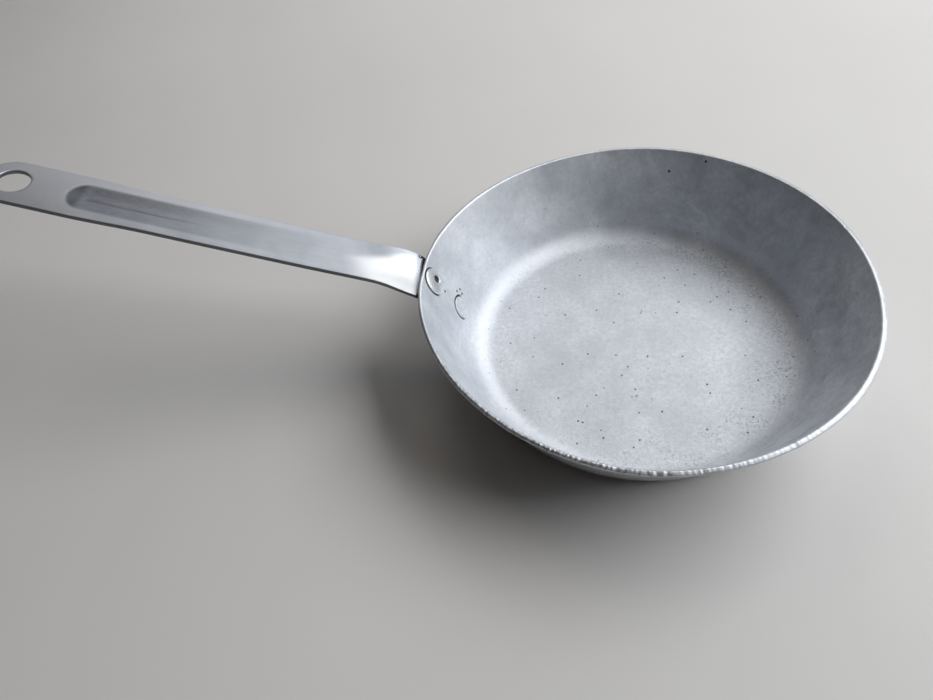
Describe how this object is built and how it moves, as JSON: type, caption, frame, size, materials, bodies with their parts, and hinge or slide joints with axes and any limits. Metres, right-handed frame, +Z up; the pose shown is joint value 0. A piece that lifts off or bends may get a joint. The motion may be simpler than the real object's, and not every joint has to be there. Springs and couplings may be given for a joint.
{
  "type": "frying pan",
  "caption": "Round flared aluminium frying pan with a flat base and a long riveted strap handle that ends in a hanging hole.",
  "frame": {"origin": "centre of the pan's flat underside, on the surface it stands on", "axes": "+Z up along the pan's axis; the handle points along -X, so +X is away from the handle"},
  "size_m": [0.4408, 0.2194, 0.1112],
  "materials": {
    "pan_aluminium": "dull satin, worn and slightly pitted",
    "handle_aluminium": "satin, brushed along its length",
    "rivet_aluminium": "satin, hammered"
  },
  "bodies": {
    "root": {"pan_body": "pan_aluminium", "handle": "handle_aluminium", "rivet_upper": "rivet_aluminium", "rivet_lower": "rivet_aluminium"}
  },
  "joints": []
}
